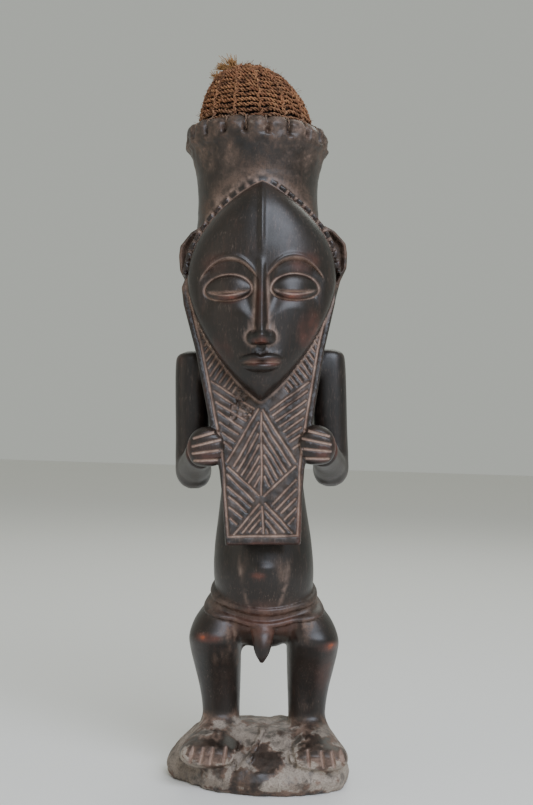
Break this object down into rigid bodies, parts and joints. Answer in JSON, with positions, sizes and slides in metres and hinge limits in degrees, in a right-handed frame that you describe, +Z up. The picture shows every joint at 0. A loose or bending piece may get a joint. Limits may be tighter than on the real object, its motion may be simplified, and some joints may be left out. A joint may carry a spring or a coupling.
{
  "type": "ancestor figure",
  "caption": "Standing carved hardwood figure with a flat hatched beard board held in both hands, a cup-shaped crown stopped by a stitched raffia dome, and a mound base.",
  "frame": {"origin": "centre of the flat underside, below the legs", "axes": "+Z up, -Y the way the figure faces, +X to its left"},
  "size_m": [0.1297, 0.1155, 0.4955],
  "materials": {
    "wood": "near-black polished hardwood, worn red-brown on its edges, dusty at the base and the crown",
    "raffia": "stiff twisted raffia cord, coiled and stitched, dry brown"
  },
  "bodies": {
    "root": {"wood_figure": "wood", "raffia_plug": "raffia"}
  },
  "joints": []
}
